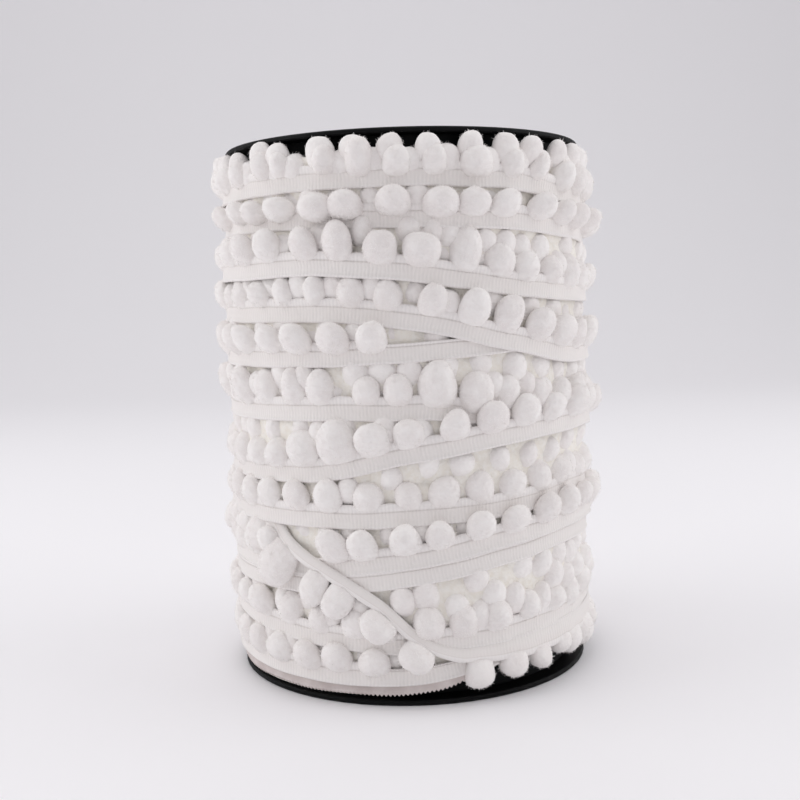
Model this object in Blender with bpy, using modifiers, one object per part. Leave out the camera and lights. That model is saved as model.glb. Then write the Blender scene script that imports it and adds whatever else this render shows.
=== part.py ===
# Pompom fringe trim wound on a reel. Metres, +Z up, the origin at the centre of the bottom face.
# The header tape winds down the reel in one continuous strip, with a pompom on its edge at every pitch.

import math
import random

import bmesh
import bpy
from mathutils import Matrix, Vector

MM = 0.001

# The reel: two thin discs.
REEL_HEIGHT = 160 * MM
FLANGE_RADIUS = 55 * MM
FLANGE_THICKNESS = 1.5 * MM
FLANGE_SIDES = 64
FLANGE_EDGE = 0.4 * MM

# The roll beneath, with a ridge for each of its turns. The gap is what parts touching pieces.
GAP = 0.3 * MM
ROLL_RADIUS = 50.3 * MM
ROLL_RIDGE = 1.4 * MM
ROLL_PITCH = 11.5 * MM
ROLL_SIDES = 32
ROLL_ROWS = 56

# The header tape. The radius is to its middle, and a level lifts a turn over its neighbours. The step is the
# longest straight stretch, in degrees.
TAPE_WIDTH = 5.2 * MM
TAPE_THICKNESS = 1.2 * MM
TAPE_RADIUS = 55.9 * MM
LEVEL_STEP = 1.7 * MM
TAPE_STEP = 12.5

# The pompoms: twenty-sided balls, whose rings of five points lie at POM_RING of the radius from the axis. The
# pitch is in degrees, the seat is the radius at which one stands, and one that leans out is flatter by
# POM_LEAN_DEPTH. ROOT_SIDE is the tape's face that holds the roots: the upper edge, or the lower.
POM_RADIUS = 5.5 * MM
POM_RING = 0.894
POM_PITCH = 11.0
POM_SEAT = 57.1 * MM
POM_LEAN_DEPTH = 0.68
POM_ROOT = 1.5 * MM
POM_LEAST_HEIGHT = 0.6
POM_NEAREST = 0.96
ROOT_SIDE = {1: 2, -1: 0}
ANY_LEVEL = 9

# One row for each turn. The heights of the tape's middle are in millimetres at 60 and 30 degrees left of the
# front, at the front, at 30 and 60 degrees right of it, and behind, where the next turn begins.
# side: 1 with the pompoms above the tape, -1 below. rise: from the tape's middle to a pompom's.
# The levels say how far the turn lies over its neighbours, on the left, on the right and behind.
# first, start and stop: where one pompom stands, and the stretch of the turn that shows them, in degrees.
TURN_COLUMNS = (
    "left60", "left30", "front", "right30", "right60", "behind", "side", "rise",
    "level_left", "level_right", "level_behind", "first", "start", "stop",
)
TURNS = {
    "a": (146.2, 146.6, 146.6, 145.8, 142.5, 140.5, 1, 6.4, 0, 0, 0, -2, -170, 180),
    "b": (136.0, 135.2, 134.2, 133.8, 132.0, 128.0, 1, 5.6, 0, 0, 0, -3, -180, 180),
    "c": (123.0, 123.5, 121.3, 116.8, 114.5, 113.0, 1, 6.4, 0, 0, 0, -8, -180, 180),
    "d": (110.8, 110.8, 108.3, 101.5, 96.5, 98.0, 1, 6.8, 0, 1, 1, -5, -180, 180),
    "e": (98.0, 98.3, 99.3, 101.0, 103.0, 87.0, 1, 5.6, 0, 0, 0, -10, -180, 165),
    "f": (82.7, 83.3, 83.5, 80.5, 79.0, 75.0, 1, 7.0, 0, 0, 0, -3, -180, 180),
    "g": (65.0, 66.0, 71.5, 75.5, 77.0, 62.0, 1, 6.4, 0, 1, 1, 2, -180, 180),
    "h": (53.0, 53.2, 54.0, 55.0, 57.0, 48.0, 1, 6.8, 0, 0, 0, -2, -180, 180),
    "i": (38.5, 39.0, 42.3, 46.8, 48.5, 37.0, 1, 6.2, 0, 1, 0, -2, -180, 180),
    "j": (32.5, 33.3, 36.5, 40.8, 43.0, 27.0, 1, 6.2, 0, 0, 0, 0, 90, 180),
    "l": (20.5, 19.0, 18.0, 19.0, 22.0, 36.0, 1, 6.0, 0, 0, 1, 3, -180, 100),
    "k": (47.2, 40.0, 20.5, 15.4, 15.6, 15.0, -1, 7.2, 1, 1, 1, -9, -120, 130),
    "m": (8.8, 8.6, 9.0, 9.4, 9.0, 8.2, 1, 5.6, 0, 0, 0, -1, -110, 6),
}
TOP_START = 146.5


def clear_scene():
    for scene_object in list(bpy.data.objects):
        bpy.data.objects.remove(scene_object, do_unlink=True)


def material(name, colour, roughness):
    made = bpy.data.materials.new(name)
    made.use_nodes = True
    shader = made.node_tree.nodes["Principled BSDF"]
    shader.inputs["Base Color"].default_value = (*colour, 1)
    shader.inputs["Roughness"].default_value = roughness
    shader.inputs["Metallic"].default_value = 0
    return made


def add_object(name, mesh, collection, finish):
    mesh.materials.append(finish)
    collection.objects.link(bpy.data.objects.new(name, mesh))


def on_cylinder(degrees, radius, height):
    angle = math.radians(degrees)
    return Vector((radius * math.sin(angle), -radius * math.cos(angle), height))


def turn_rows():
    return [dict(zip(TURN_COLUMNS, row), name=name) for name, row in TURNS.items()]


def height_knots():
    # The continuous angle counts 360 degrees for each turn, and its front is at a multiple of 360.
    knots = [(-180, TOP_START * MM)]
    for number, turn in enumerate(turn_rows()):
        places = {"left60": -60, "left30": -30, "front": 0, "right30": 30, "right60": 60, "behind": 180}
        knots += [(360 * number + angle, turn[column] * MM) for column, angle in places.items()]
    return knots


def level_knots():
    knots = [(-180, 0)]
    places = (
        (-60, "level_left"), (-15, "level_left"), (20, "level_right"), (70, "level_right"),
        (115, "level_behind"), (240, "level_behind"),
    )
    for number, turn in enumerate(turn_rows()):
        knots += [(360 * number + angle, turn[column]) for angle, column in places]
    return knots


def slope_at(knots, index):
    # The harmonic mean of the two neighbouring slopes, which doesn't overshoot a knot.
    if index in (0, len(knots) - 1):
        return 0
    (x0, y0), (x1, y1), (x2, y2) = knots[index - 1 : index + 2]
    before, after = (y1 - y0) / (x1 - x0), (y2 - y1) / (x2 - x1)
    return 0 if before * after <= 0 else 2 * before * after / (before + after)


def smooth(knots, x):
    index = max(i for i in range(len(knots) - 1) if knots[i][0] <= x or i == 0)
    (x0, y0), (x1, y1) = knots[index : index + 2]
    span = x1 - x0
    t = (x - x0) / span
    rise0, rise1 = slope_at(knots, index) * span, slope_at(knots, index + 1) * span
    return (
        (2 * t**3 - 3 * t**2 + 1) * y0
        + (t**3 - 2 * t**2 + t) * rise0
        + (3 * t**2 - 2 * t**3) * y1
        + (t**3 - t**2) * rise1
    )


class Winding:
    # The path of the tape's middle: its height, its level over the neighbours, and its frame of directions.
    def __init__(self):
        self.heights = height_knots()
        self.levels = level_knots()
        self.first = self.heights[0][0]
        self.last = self.heights[-1][0]

    def height(self, degrees):
        return smooth(self.heights, degrees)

    def level(self, degrees):
        return smooth(self.levels, degrees)

    def frame(self, degrees):
        radius = TAPE_RADIUS + LEVEL_STEP * self.level(degrees)
        centre = on_cylinder(degrees, radius, self.height(degrees))
        outward = on_cylinder(degrees, 1, 0)
        ahead = on_cylinder(degrees + 90, 1, 0)
        before, after = max(degrees - 1, self.first), min(degrees + 1, self.last)
        climb = self.height(after) - self.height(before)
        slope = math.atan2(climb, math.radians(after - before) * radius)
        up = Vector((0, 0, math.cos(slope))) - ahead * math.sin(slope)
        return centre, outward, ahead, up

    def section(self, degrees):
        centre, outward, _, up = self.frame(degrees)
        half_up, half_out = up * TAPE_WIDTH / 2, outward * TAPE_THICKNESS / 2
        return [centre - half_up - half_out, centre - half_up + half_out,
                centre + half_up + half_out, centre + half_up - half_out]


def room_over(winding, degrees, side, least_level, most_level):
    # The clear height between this turn's rooted edge and the next tape whose level is in the range.
    here = winding.height(degrees)
    room = 1.0
    turn = math.ceil((winding.first - degrees) / 360)
    while degrees + 360 * turn <= winding.last:
        other = degrees + 360 * turn
        rise = (winding.height(other) - here) * side
        if turn != 0 and rise > TAPE_WIDTH / 3 and least_level <= winding.level(other) < most_level:
            room = min(room, rise - TAPE_WIDTH)
        turn += 1
    return room


def tape_points(winding):
    # Points on the tape's outer face, close enough together to tell whether a pompom meets it.
    points = []
    for degrees in range(winding.first, winding.last, 2):
        centre, outward, _, up = winding.frame(degrees)
        face = centre + outward * TAPE_THICKNESS / 2
        points += [(degrees, face + up * TAPE_WIDTH * share) for share in (-1 / 2, -1 / 6, 1 / 6, 1 / 2)]
    return points


def within(pom, point, clearance):
    # Whether the point lies in the pompom's ellipsoid, made larger all round by the clearance.
    offset = point - pom["centre"]
    parts = [offset.dot(axis) / (size + clearance) for axis, size in zip(pom["axes"], pom["sizes"])]
    return sum(part * part for part in parts) < 1


def pompom(winding, turn, degrees, size, yaw):
    # Where a tape at its own level is too near above, the pompom leans out over it and is flatter from in to
    # out. Under a tape that lies further out it is squeezed lower.
    level = winding.level(degrees)
    _, outward, ahead, up = winding.frame(degrees)
    side = turn["side"]
    stem = turn["rise"] * MM - TAPE_WIDTH / 2
    room = room_over(winding, degrees, side, level - 0.5, level + 0.5)
    leans = level > 0.5 or room < stem + size + GAP
    depth = size * POM_LEAN_DEPTH if leans else size
    over_tape = TAPE_RADIUS + TAPE_THICKNESS / 2 + GAP + depth * POM_RING
    lid = room_over(winding, degrees, side, level + 0.5, ANY_LEVEL)
    height = min(1, (lid - GAP) / (stem + size))
    middle = on_cylinder(degrees, over_tape if leans else POM_SEAT, winding.height(degrees))
    middle += up * side * (TAPE_WIDTH / 2 + stem * height)
    return {"angle": degrees, "side": side, "centre": middle, "yaw": yaw, "height": height,
            "axes": (ahead, outward, up * side), "sizes": (size, depth, size * height)}


def pompoms(winding):
    # A pompom stands at every pitch along a turn. One with too little room stays tucked under its neighbours.
    chance = random.Random(7)
    points = tape_points(winding)
    kept = []
    rows = sorted(enumerate(turn_rows()), key=lambda row: -max(row[1]["level_left"], row[1]["level_right"]))
    for number, turn in rows:
        first = turn["first"] + math.ceil((turn["start"] - turn["first"]) / POM_PITCH) * POM_PITCH
        for step in range(int((turn["stop"] - first) // POM_PITCH) + 1):
            degrees = 360 * number + first + step * POM_PITCH
            size = POM_RADIUS * chance.uniform(0.94, 1.0)
            pom = pompom(winding, turn, degrees, size, yaw=chance.uniform(0, 72))
            crossed = any(within(pom, point, -GAP) for angle, point in points if abs(angle - degrees) > 90)
            if pom["height"] > POM_LEAST_HEIGHT and not crossed and all(apart(pom, other) for other in kept):
                kept.append(pom)
    return sorted(kept, key=lambda pom: pom["angle"])


def apart(pom, other):
    doubled = [POM_NEAREST * 2 * size for size in pom["sizes"]]
    return not within({**pom, "sizes": doubled}, other["centre"], 0)


def loft(shape, sections, open_faces=()):
    # Joins successive sections of as many corners with faces, caps both ends, and leaves out the open faces.
    rings = [[shape.verts.new(point) for point in section] for section in sections]
    corners = len(rings[0])
    for index, (ring, after) in enumerate(zip(rings, rings[1:])):
        for corner in range(corners):
            if (index, corner) not in open_faces:
                following = (corner + 1) % corners
                shape.faces.new((ring[corner], ring[following], after[following], after[corner]))
    shape.faces.new(rings[0])
    shape.faces.new(rings[-1][::-1])
    return rings


def finished_mesh(shape, name):
    bmesh.ops.recalc_face_normals(shape, faces=shape.faces)
    mesh = bpy.data.meshes.new(name)
    shape.to_mesh(mesh)
    shape.free()
    return mesh


def add_pompom(shape, pom, root):
    # A ball whose lowest point is opened and bridged to the four-cornered root on the tape's edge.
    turn = Matrix.Rotation(math.radians(pom["yaw"]), 4, "Z")
    axes = Matrix([axis * size for axis, size in zip(pom["axes"], pom["sizes"])]).transposed().to_4x4()
    place = Matrix.Translation(pom["centre"]) @ axes @ turn
    ball = bmesh.ops.create_icosphere(shape, subdivisions=1, radius=1, matrix=place)["verts"]
    lowest = min(ball, key=lambda vertex: (vertex.co - pom["centre"]).dot(pom["axes"][2]))
    mouth = [edge for face in lowest.link_faces for edge in face.edges if lowest not in edge.verts]
    bmesh.ops.delete(shape, geom=[lowest], context="VERTS")
    rim = [shape.edges.get((a, b)) for a, b in zip(root, root[1:] + root[:1])]
    bmesh.ops.bridge_loops(shape, edges=mouth + rim)


def spread(start, stop):
    # Even steps from start to stop, none longer than the tape's step. The start is left out.
    count = max(1, math.ceil((stop - start) / TAPE_STEP))
    return [start + (stop - start) * (step + 1) / count for step in range(count)]


def build_outer_turns(collection, finish):
    winding = Winding()
    half_root = math.degrees(POM_ROOT / TAPE_RADIUS)
    angles = [winding.first]
    roots = {}
    for pom in pompoms(winding):
        angles += spread(angles[-1], pom["angle"] - half_root)
        roots[len(angles) - 1] = pom
        angles.append(pom["angle"] + half_root)
    angles += spread(angles[-1], winding.last)

    shape = bmesh.new()
    open_faces = {(index, ROOT_SIDE[pom["side"]]) for index, pom in roots.items()}
    rings = loft(shape, [winding.section(angle) for angle in angles], open_faces)
    for index, pom in roots.items():
        corner = ROOT_SIDE[pom["side"]]
        following = (corner + 1) % len(rings[index])
        near, far = rings[index], rings[index + 1]
        add_pompom(shape, pom, [near[corner], near[following], far[following], far[corner]])
    add_object("outer_turns", finished_mesh(shape, "outer_turns"), collection, finish)


def build_wound_roll(collection, finish):
    # A drum between the flanges, pushed out along a helix where each turn beneath lies.
    bottom = FLANGE_THICKNESS + GAP
    height = REEL_HEIGHT - 2 * bottom
    shares = [side / ROLL_SIDES for side in range(ROLL_SIDES)]
    sections = []
    for row in range(ROLL_ROWS + 1):
        z = bottom + height * row / ROLL_ROWS
        ridges = [ROLL_RIDGE * math.cos(2 * math.pi * (z / ROLL_PITCH - share)) for share in shares]
        places = zip(shares, ridges)
        sections.append([on_cylinder(360 * share, ROLL_RADIUS + ridge, z) for share, ridge in places])
    shape = bmesh.new()
    loft(shape, sections)
    add_object("wound_roll", finished_mesh(shape, "wound_roll"), collection, finish)


def build_flange(name, bottom, collection, finish):
    bpy.ops.mesh.primitive_cylinder_add(
        vertices=FLANGE_SIDES, radius=FLANGE_RADIUS, depth=FLANGE_THICKNESS,
        location=(0, 0, bottom + FLANGE_THICKNESS / 2))
    flange = bpy.context.object
    flange.name = name
    flange.data.materials.append(finish)
    for holder in flange.users_collection:
        holder.objects.unlink(flange)
    collection.objects.link(flange)
    rounding = flange.modifiers.new("edge", "BEVEL")
    rounding.width = FLANGE_EDGE
    rounding.segments = 1
    rounding.limit_method = "ANGLE"
    flange.data.shade_smooth()
    flange.data.set_sharp_from_angle(angle=math.radians(30))


def build():
    clear_scene()
    collection = bpy.data.collections.new("pompom_trim_reel")
    bpy.context.scene.collection.children.link(collection)
    yarn = material("white_yarn", (0.86, 0.85, 0.83), 0.9)
    plastic = material("black_plastic", (0.02, 0.02, 0.022), 0.4)
    build_flange("flange_bottom", 0, collection, plastic)
    build_flange("flange_top", REEL_HEIGHT - FLANGE_THICKNESS, collection, plastic)
    build_wound_roll(collection, yarn)
    build_outer_turns(collection, yarn)


build()
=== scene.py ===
import math

import bpy
import numpy as np
from mathutils import Matrix, Vector


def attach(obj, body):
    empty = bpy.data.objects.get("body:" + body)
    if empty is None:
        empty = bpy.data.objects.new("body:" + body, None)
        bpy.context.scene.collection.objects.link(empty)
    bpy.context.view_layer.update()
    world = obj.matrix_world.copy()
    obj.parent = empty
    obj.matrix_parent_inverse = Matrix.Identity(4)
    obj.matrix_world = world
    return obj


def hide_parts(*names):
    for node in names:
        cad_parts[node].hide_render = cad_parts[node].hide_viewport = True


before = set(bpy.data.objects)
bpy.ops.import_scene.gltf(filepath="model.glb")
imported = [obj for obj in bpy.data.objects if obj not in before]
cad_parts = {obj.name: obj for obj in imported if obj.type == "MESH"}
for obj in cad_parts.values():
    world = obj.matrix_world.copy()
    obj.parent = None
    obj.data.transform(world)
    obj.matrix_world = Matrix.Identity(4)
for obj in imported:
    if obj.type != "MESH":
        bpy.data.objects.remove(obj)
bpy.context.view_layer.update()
mm = 0.001
farOff = 1000.0  # in millimetres, further than anything lies
rng = np.random.default_rng(11)
upright = np.array([0, 0, 1.0])
phases = 6.28  # chance phases and spins lie between 0 and this, in radians


def hexColour(text):
    # sRGB hex to the linear colour that Blender's sockets take
    parts = np.array([int(text[i:i + 2], 16) for i in (1, 3, 5)]) / 255
    linear = np.where(parts <= 0.04045, parts / 12.92, ((parts + 0.055) / 1.055) ** 2.4)
    return (*linear.tolist(), 1)


def addNode(tree, kind, inputs=None, stops=(), feeds=None, **settings):
    # an input is a plain value, another node's output, or a node, for its first output; the stops are
    # a colour ramp's; the new node's first output goes to the socket that it feeds
    made = tree.nodes.new("ShaderNode" + kind)
    for name, value in settings.items():
        setattr(made, name, value)
    for name, value in (inputs or {}).items():
        if isinstance(value, bpy.types.Node):
            value = value.outputs[0]
        if isinstance(value, bpy.types.NodeSocket):
            tree.links.new(value, made.inputs[name])
        else:
            made.inputs[name].default_value = value
    for number, (spot, colour) in enumerate(stops):
        elements = made.color_ramp.elements
        element = elements[number] if number < 2 else elements.new(spot)
        element.position, element.color = spot, hexColour(colour)
    if feeds:
        tree.links.new(made.outputs[0], feeds)
    return made


def newMaterial(name, **sockets):
    # an underscore stands for the space in a socket's name
    made = bpy.data.materials.new(name)
    made.use_nodes = True
    finish = made.node_tree.nodes["Principled BSDF"].inputs
    for socket, value in sockets.items():
        finish[socket.replace("_", " ")].default_value = value
    return made, made.node_tree, finish


def addMesh(name, points, groups, material, uv=None, tone=None):
    # points in millimetres; each group of faces is an array of their corners, one row a face
    mesh = bpy.data.meshes.new(name)
    corners = np.concatenate([group.ravel() for group in groups])
    sizes = np.concatenate([np.full(len(group), group.shape[1]) for group in groups])
    mesh.vertices.add(len(points))
    mesh.vertices.foreach_set("co", (points * mm).astype(np.float32).ravel())
    mesh.loops.add(len(corners))
    mesh.loops.foreach_set("vertex_index", corners.astype(np.int32))
    mesh.polygons.add(len(sizes))
    mesh.polygons.foreach_set("loop_start", (np.cumsum(sizes) - sizes).astype(np.int32))
    mesh.polygons.foreach_set("use_smooth", np.full(len(sizes), True))
    if uv is not None:
        mesh.uv_layers.new(name="along").data.foreach_set("uv", uv.astype(np.float32).ravel())
    if tone is not None:
        layer = mesh.attributes.new("tone", "FLOAT", "POINT")
        layer.data.foreach_set("value", tone.astype(np.float32))
    mesh.update(calc_edges=True)
    mesh.validate()
    mesh.materials.append(material)
    made = bpy.data.objects.new(name, mesh)
    bpy.context.scene.collection.objects.link(made)
    return made


def gridFaces(rows, columns, closed=True, flipped=False):
    # the quads between neighbours in a grid of points that are counted along each row in turn; the
    # last column joins the first one if it is closed, and flipping turns the faces' other side out
    row, column = np.meshgrid(np.arange(rows - 1), np.arange(columns - (not closed)), indexing="ij")
    after = (column + 1) % columns
    corners = [(row, column), (row, after), (row + 1, after), (row + 1, column)]
    if flipped:
        corners[1:] = corners[:0:-1]
    return np.stack([r * columns + c for r, c in corners], -1).reshape(-1, 4)


def place(piece, slot, *nodes):
    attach(piece, "root")
    if nodes:
        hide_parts(*nodes)


def smoothNoise(values, seed, span):
    # a sum of sines with seeded phases: about -1 to 1, and it repeats only over many spans
    chance = np.random.default_rng(seed)
    waves = 5
    total = np.zeros_like(values)
    for _ in range(waves):
        total += np.sin(values * (2 * math.pi / span) * chance.uniform(0.6, 1.7) + chance.uniform(0, phases))
    return total / waves


# one row a turn, in the order they are wound: the tape's height at five angles across the front
# and behind, the side of the pompoms (1 above, -1 below), their rise, the turn's level over its
# neighbours, the first pompom and the stretch that has pompoms
turnColumns = ("left60", "left30", "front", "right30", "right60", "behind", "side", "rise",
               "levelLeft", "levelRight", "levelBehind", "first", "start", "stop")
outerTurns = {
    "a": (146.2, 146.6, 146.6, 145.8, 142.5, 140.5, 1, 5.8, 0, 0, -0.4, -2, -170, 180),
    "b": (136.5, 136.3, 135.6, 134.8, 132.8, 128.5, 1, 4.5, -0.4, 0, -0.4, -3, -180, 180),
    "c": (123, 123.5, 121.3, 116.8, 114.5, 113, 1, 6.6, 0.9, 0.4, 0.9, -8, -180, 180),
    "d": (110.8, 110.8, 108.3, 101.5, 96.5, 98, 1, 6.6, -0.2, 0.8, 0.8, -5, -180, 180),
    "e": (98, 98.3, 99.3, 101, 103, 87, 1, 5.2, 0, 0, 0, -10, -180, 165),
    "f": (82.7, 83.3, 83.5, 80.5, 79, 75, 1, 7, 0, 0, 0, -3, -180, 180),
    "g": (65, 66, 71.5, 75.5, 77, 62, 1, 6.4, 0, 0.8, 0.8, 2, -180, 180),
    "h": (53, 53.2, 54, 55, 57, 48, 1, 6.8, 0.3, 0, 0, -2, -180, 180),
    "i": (38.5, 39, 42.3, 46.8, 48.5, 37, 1, 6.2, 0, 0.8, 0, -2, -180, 180),
    "j": (33.3, 34, 37.2, 41.4, 43.5, 27, 1, 6.2, 0, 0, 0, 0, 90, 180),
    "l": (21, 19, 17.8, 19.2, 21, 36, 1, 6, 0, 0, 1, 3, -180, 100),
    "k": (54, 41.2, 20.8, 15, 16.4, 15, -1, 6.4, 1, 0.4, 0.2, -9, -120, 130),
    "m": (8.8, 8.5, 8.9, 13, 14.2, 12, 1, 5.4, 0, -0.7, -0.7, -1, -150, 6),
}
# where a turn bends between those angles: its height there
bends = {"k": ((-48, 52.5), (-40, 47.5), (-35, 44.2), (-20, 36.2), (-10, 30), (7, 16.6), (15, 14.8))}
outer = {
    "turns": outerTurns,
    "bends": bends,
    "topStart": 146.5,  # the height where the tape starts, at the back
    "radius": 55.9,  # of the tape's middle
    "level": 1.6,  # how much further out a turn lies for each level
    "pitch": 11.0,  # degrees from pompom to pompom
    "seat": 55.4,  # the radius of a pompom's middle
    "step": 1.5,  # degrees between the tape's sections
    "dive": (3.2, 14),  # how far its two ends dive into the roll, over how many degrees
}
tapeWidth = 5.2
sameLevel = 0.5  # turns whose levels differ by less than this lie side by side


def through(knots, angles):
    # a cubic between neighbouring knots; the slope at a knot is the harmonic mean of the two
    # slopes beside it, or level where they differ in sign, so that it never overshoots
    x, y = np.array(knots, float).T
    step = np.diff(x)
    slope = np.diff(y) / step
    both = slope[:-1] * slope[1:]
    middle = np.where(both > 0, 2 * both / np.where(both > 0, slope[:-1] + slope[1:], 1), 0)
    lean = np.concatenate([[0], middle, [0]])
    at = np.clip(np.searchsorted(x, angles, side="right") - 1, 0, len(step) - 1)
    t = (angles - x[at]) / step[at]
    return ((2 * t**3 - 3 * t**2 + 1) * y[at] + (t**3 - 2 * t**2 + t) * lean[at] * step[at]
            + (3 * t**2 - 2 * t**3) * y[at + 1] + (t**3 - t**2) * lean[at + 1] * step[at])


def turnKnots(rows, first, places, extra):
    # the angle counts 360 degrees for each turn, and its front is at a multiple of 360
    knots = [(-180, first)]
    for number, turn in enumerate(rows):
        knots += [(360 * number + angle, turn[column]) for angle, column in places]
        knots += [(360 * number + angle, height) for angle, height in extra.get(turn["name"], ())]
    return sorted(knots)


def addPath(layer):
    # turns the layer's table into the knots of its height and level
    rows = layer["rows"] = [dict(zip(turnColumns, row), name=name) for name, row in layer["turns"].items()]
    layer["heights"] = turnKnots(rows, layer["topStart"], (
        (-60, "left60"), (-30, "left30"), (0, "front"), (30, "right30"), (60, "right60"), (180, "behind")),
        layer["bends"])
    layer["levels"] = turnKnots(rows, 0, (
        (-60, "levelLeft"), (-15, "levelLeft"), (20, "levelRight"), (70, "levelRight"),
        (115, "levelBehind"), (240, "levelBehind")), {})
    layer["first"], layer["last"] = layer["heights"][0][0], layer["heights"][-1][0]


addPath(outer)
turnedOver = 360 * list(outerTurns).index("k")
# it comes out from under the turn above it, and lies over those below
emerging = ((-60, -0.45), (-46, -0.45), (-37, 0.9), (-15, 1.0))
outer["levels"] = sorted([knot for knot in outer["levels"] if not -65 < knot[0] - turnedOver < -10]
                         + [(turnedOver + angle, level) for angle, level in emerging])
# the twist about the tape's own length: that turn is turned over, its pompoms below, and it lies
# nearly edge-on where it comes down across the front
twists = ((-260, 0), (-150, 180), (-75, 165), (-45, 150), (5, 150), (35, 170), (130, 180), (250, 360))
outer["twists"] = [(-180, 0), *((turnedOver + angle, twist) for angle, twist in twists), (outer["last"], 360)]
# how much of the tape's width is left where it is curled along its length
curls = ((-75, 1), (-50, 0.55), (5, 0.5), (40, 1))
outer["curls"] = [(-180, 1), *((turnedOver + angle, width) for angle, width in curls), (outer["last"], 1)]
print("path ready")


def around(angles, radius, height):
    # points on a circle round the axis, at angles counted from the front towards the right
    turn = np.radians(angles)
    return np.stack([radius * np.sin(turn), -radius * np.cos(turn), height + 0 * turn], -1)


def frameAt(layer, angles):
    # the middle of the tape and its directions: out from the axis, ahead along it, and up across it
    first, last = layer["first"], layer["last"]
    held = np.clip(angles, first, last)
    before, heights, beside = (
        through(layer["heights"], np.clip(held + step, first, last)) for step in (-1, 0, 1))
    level = through(layer["levels"], held)
    ends = np.minimum(held - first, last - held)
    depth, stretch = layer["dive"]
    radius = layer["radius"] + layer["level"] * level - depth * np.clip(1 - ends / stretch, 0, 1) ** 2
    slope = np.arctan2(beside - before, np.radians(2) * radius)[:, None]
    out, flat = around(angles, 1, 0), around(angles + 90, 1, 0)
    up = upright * np.cos(slope) - flat * np.sin(slope)
    ahead = flat * np.cos(slope) + upright * np.sin(slope)
    return around(angles, radius, heights), out, ahead, up, level


pompom = {
    "radius": 5.05,
    "vary": 0.08,  # how much the sizes differ
    "strayAlong": 0.6,  # how far one strays from its place along the tape, in degrees
    "strayUp": 0.3,  # and across it
    "wide": (0.95, 1.04),  # the range of its width to its radius
    "tall": (0.94, 1.08),  # and of its height
    "depth": 0.95,  # its depth from in to out
    "leanDepth": 0.74,  # and where it leans out over a tape
    "leanRoom": 1.02,  # it leans where this much of its radius has no room below the tape above
    "leanOut": (0.2, 0.4),  # its middle then lies this far out of the tape's, and this share of its depth
    "neckWide": 0.78,  # the root's width where it enters the tape, to the ball's
    "neckDeep": 0.34,  # and its depth from in to out, which the tape's edge hides
    "lumps": 0.06,  # the height of its lumps to its size; they are a sum of sines
    "lumpWaves": 4,
    "lumpTurns": 1.7,  # how far these run over its radius, in radians
    "shortest": 0.84,  # its lower half is at least this long, to its upper half
    "foot": 0.3,  # and its lowest point so much lower
    "least": 0.62,  # one that a tape would squeeze lower than this is left out
    "squeeze": 1.6,  # how much of its height may hide under a tape that lies further out
    "slit": 1.8,  # a gap narrower than this, to the tape above, is closed
    "spare": 1.0,  # with so much to spare
    "most": 2.4,  # but by no more than this
    "moved": 0.6,  # the share of it that the ball moves up
    "grown": 0.3,  # and the share by which its half height grows
    "root": 1.9,  # from the tape's middle to the root
    "behind": 0.9,  # how far the root lies inside the tape's middle
    "droop": (0.6, 1.5),  # how far it hangs down over its own tape, at the front and at the sides
    "sides": (45, 75),  # the angles between which the one goes over into the other
    "sideSize": 0.05,  # how much larger it is at the sides
    # how much further out than its seat it stands, by the angle round the reel
    "stand": ((-180, -0.5), (-120, -1.1), (-75, -1.1), (-45, 0.0),
              (45, 0.0), (75, -0.3), (120, -0.3), (180, -0.5)),
}
fineBall = {"sides": 9, "rings": 6}
plainBall = {"sides": 7, "rings": 5}
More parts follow.
